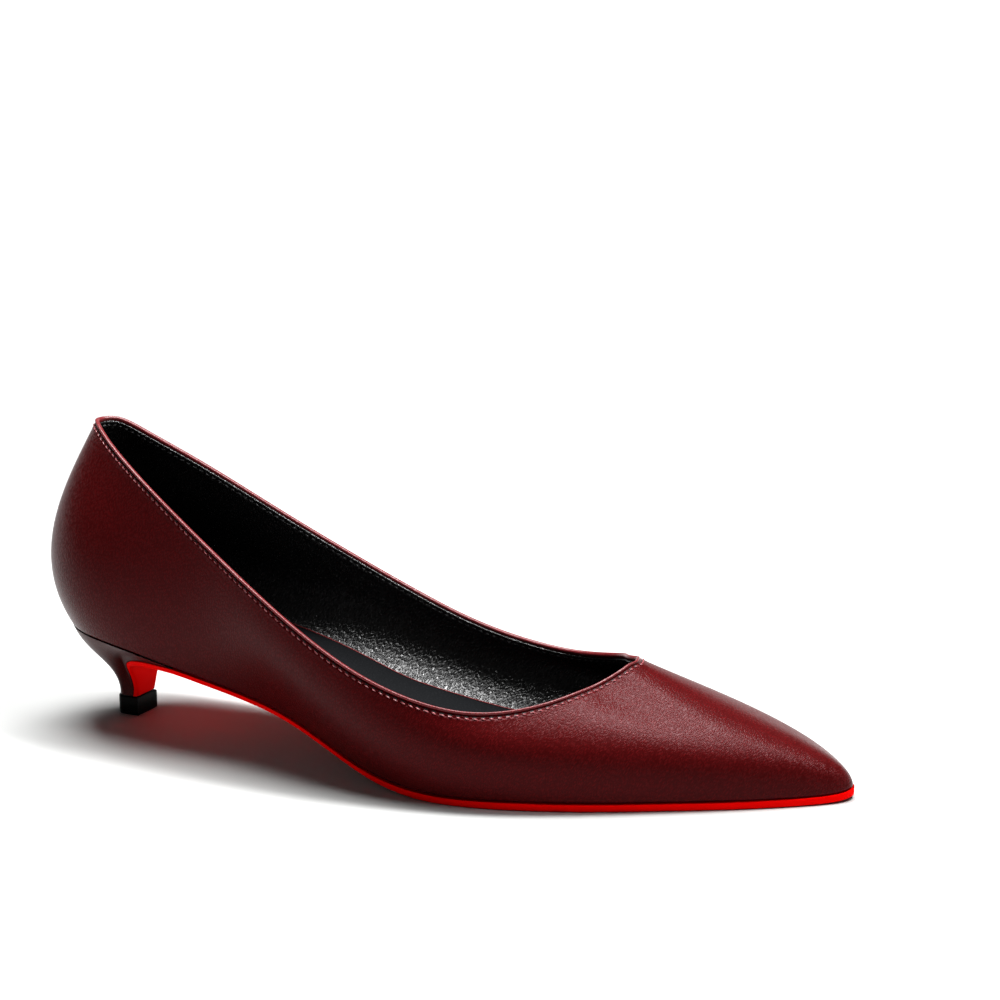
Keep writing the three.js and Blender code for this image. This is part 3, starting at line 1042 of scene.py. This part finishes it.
calf = burgundy_calf()
burgundy_thread = waxed_thread("burgundy_thread", "#6e2226", "#a85a5f", 0.35)
black_thread = waxed_thread("black_thread", "#2a2a2b", "#6a6a6c", 0.3)
make_upper_leather([calf, burnished_edge_painted_highlight()])
make_lining(black_lining_leather())
# Each stitch's needle hole is a flat dark patch: painted shade.
make_stitching(
    "topline_stitching",
    STITCH_LINE,
    STITCH_FACE,
    [burgundy_thread, matt_cut_edge_and_painted_hole_shade("calf_needle_hole_painted_shade", "#140405")],
)
make_stitching(
    "lining_stitching",
    LINING_STITCH_LINE,
    LINING_STITCH_FACE,
    [black_thread, matt_cut_edge_and_painted_hole_shade("lining_needle_hole_painted_shade", "#020202")],
)
make_sock(charcoal_sock_leather())
make_sock_edge(matt_cut_edge_and_painted_hole_shade("red_sock_edge", "#6a1214"))
# The sole's red, and a darker copy of it on the tread's underside as painted shade.
make_red_sole([
    red_sole_paint("red_edge_paint", "#f40301", "#fc0402", 0.6),
    red_sole_paint("red_underside_painted_shade", "#8c0503", "#980604", 0.4),
])
make_heel_cover(stretched_calf())
make_top_lift(lift_rubber())


# Camera

def place_camera():
    """The camera at the photograph's angle, aimed at a point on the floor beside the shoe."""
    azimuth = math.radians(24.8)
    elevation = math.radians(11.9)
    distance = 0.930
    focal_pixels = 1902
    image_size = 1000
    aim = (Vector((-8.8, 345.3, 0)) + FRAME_SHIFT) / 1000
    back = Vector((
        math.sin(azimuth) * math.cos(elevation),
        -math.cos(azimuth) * math.cos(elevation),
        math.sin(elevation),
    ))
    right = Vector((math.cos(azimuth), math.sin(azimuth), 0))
    up = back.cross(right)
    camera_data = bpy.data.cameras.new("camera")
    camera_data.sensor_width = 36
    camera_data.lens = camera_data.sensor_width * focal_pixels / image_size
    camera_data.clip_start = 0.01
    camera_data.clip_end = 50
    camera = bpy.data.objects.new("camera", camera_data)
    rotation = Matrix((right, up, back)).transposed().to_4x4()
    camera.matrix_world = Matrix.Translation(aim + back * distance) @ rotation
    bpy.context.scene.collection.objects.link(camera)
    bpy.context.scene.camera = camera


def make_floor():
    """One square of studio paper, a hair below the shoe."""
    half = 1.0
    level = -0.0001
    corners = [(-half, -half, level), (half, -half, level), (half, half, level), (-half, half, level)]
    mesh = bpy.data.meshes.new("floor")
    mesh.from_pydata(corners, [], [(0, 1, 2, 3)])
    mesh.materials.append(studio_floor())
    floor = bpy.data.objects.new("floor", mesh)
    bpy.context.scene.collection.objects.link(floor)


def add_softbox(name, place, target, width, depth, power):
    light = bpy.data.lights.new(name, "AREA")
    light.shape = "RECTANGLE"
    light.size = width
    light.size_y = depth
    light.energy = power
    softbox = bpy.data.objects.new(name, light)
    softbox.location = place
    softbox.rotation_euler = (Vector(target) - Vector(place)).to_track_quat("-Z", "Y").to_euler()
    bpy.context.scene.collection.objects.link(softbox)


def light_studio():
    """A large softbox overhead and behind, two small ones on the toe's side, and a low white backdrop."""
    side_top = 0.06
    back_top = 0.35
    backdrop_strength = 1.15
    room_strength = 0.06
    add_softbox("overhead_softbox", (-0.24, 0.26, 1.14), (0.0, 0.0, 0.0), 0.7, 0.55, 33)
    add_softbox("shoulder_softbox", (0.36, 0.24, 1.05), (0.05, 0.0, 0.0), 0.22, 0.16, 17)
    add_softbox("toe_side_softbox", (0.62, -0.06, 1.03), (0.0, 0.0, 0.0), 0.25, 0.25, 3)
    world = bpy.data.worlds.new("room")
    world.use_nodes = True
    tree = world.node_tree
    tree.nodes.clear()
    look = add_node(tree, "ShaderNodeTexCoord").outputs["Generated"]
    ways = add_node(tree, "ShaderNodeSeparateXYZ", {"Vector": look})
    backdrop_top = add_node(
        tree,
        "ShaderNodeMapRange",
        {
            "Value": ways.outputs["Y"],
            "From Min": 0.0,
            "From Max": 0.6,
            "To Min": side_top,
            "To Max": back_top,
        },
        interpolation_type="SMOOTHSTEP",
    )
    strength = add_node(
        tree,
        "ShaderNodeMapRange",
        {
            "Value": ways.outputs["Z"],
            "From Max": backdrop_top.outputs[0],
            "To Min": backdrop_strength,
            "To Max": room_strength,
        },
        interpolation_type="SMOOTHSTEP",
    )
    background = add_node(
        tree, "ShaderNodeBackground", {"Color": linear("#ffffff"), "Strength": strength.outputs[0]}
    )
    add_node(tree, "ShaderNodeOutputWorld", {"Surface": background.outputs[0]})
    bpy.context.scene.world = world
    bpy.context.scene.view_settings.view_transform = "Standard"


place_camera()
make_floor()
light_studio()
